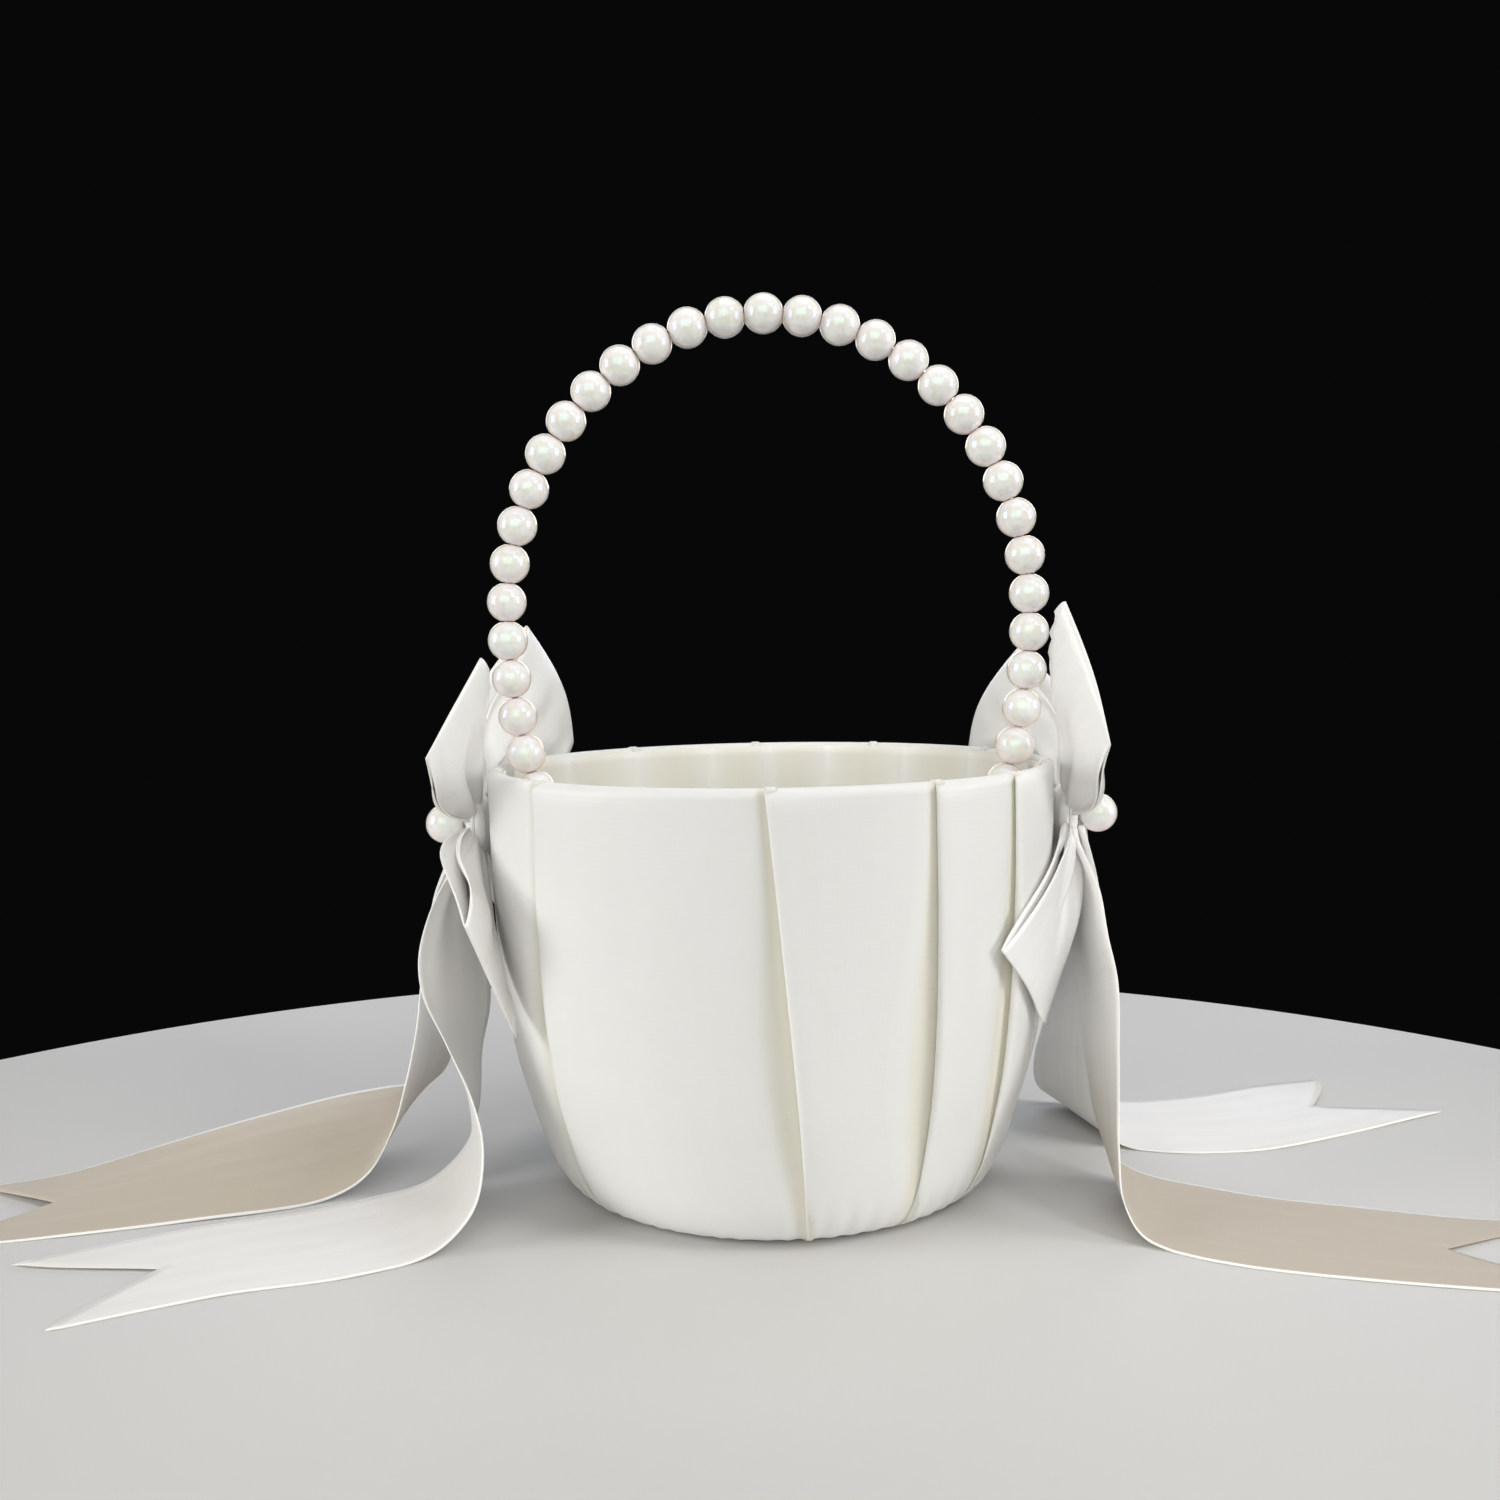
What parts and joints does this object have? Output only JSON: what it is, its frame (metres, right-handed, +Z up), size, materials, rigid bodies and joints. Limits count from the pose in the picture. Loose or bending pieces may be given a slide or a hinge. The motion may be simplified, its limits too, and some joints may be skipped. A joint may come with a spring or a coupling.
{
  "type": "flower girl basket",
  "caption": "Satin-covered round tub basket with a beaded arch handle on a wire and a ribbon bow with long notched tails on each side.",
  "frame": {"origin": "centre of the base, on the plane that the basket stands on", "axes": "+Z up, +X through the two bows to the right-hand bow, -Y to the front"},
  "size_m": [0.377, 0.1503, 0.2135],
  "materials": {
    "satin": "ivory satin, pleated",
    "lining": "ivory satin lining",
    "ribbon": "ivory satin ribbon with a woven selvedge",
    "card": "grey board",
    "felt": "white felt",
    "pearl": "ivory pearl lacquer",
    "wire": "bare craft wire"
  },
  "bodies": {
    "basket": {"base_pad": "felt", "card_base": "card", "card_wall": "card", "outer_cover": "satin", "inner_liner": "lining", "floor_board": "lining", "knot_wrap_left": "ribbon", "knot_wrap_right": "ribbon", "bow_left_upper_front_loop": "ribbon", "bow_left_upper_rear_loop": "ribbon", "bow_left_lower_front_loop": "ribbon", "bow_left_lower_rear_loop": "ribbon", "bow_right_upper_front_loop": "ribbon", "bow_right_upper_rear_loop": "ribbon", "bow_right_lower_front_loop": "ribbon", "bow_right_lower_rear_loop": "ribbon", "bow_left_front_tail": "ribbon", "bow_left_rear_tail": "ribbon", "bow_right_front_tail": "ribbon", "bow_right_rear_tail": "ribbon"},
    "handle": {"handle_wire": "wire", "knot_pearl_left": "pearl", "knot_pearl_right": "pearl", "pearl_01": "pearl", "pearl_02": "pearl", "pearl_03": "pearl", "pearl_04": "pearl", "pearl_05": "pearl", "pearl_06": "pearl", "pearl_07": "pearl", "pearl_08": "pearl", "pearl_09": "pearl", "pearl_10": "pearl", "pearl_11": "pearl", "pearl_12": "pearl", "pearl_13": "pearl", "pearl_14": "pearl", "pearl_15": "pearl", "pearl_16": "pearl", "pearl_17": "pearl", "pearl_18": "pearl", "pearl_19": "pearl", "pearl_20": "pearl", "pearl_21": "pearl", "pearl_22": "pearl", "pearl_23": "pearl", "pearl_24": "pearl", "pearl_25": "pearl", "pearl_26": "pearl", "pearl_27": "pearl", "pearl_28": "pearl", "pearl_29": "pearl", "pearl_30": "pearl", "pearl_31": "pearl", "pearl_32": "pearl", "pearl_33": "pearl"}
  },
  "joints": [
    {"name": "handle_tilt", "type": "hinge", "parent": "basket", "child": "handle", "pos_m": [0, 0, 0.0875], "axis": [1, 0, 0], "range_deg": [-20, 20]}
  ]
}
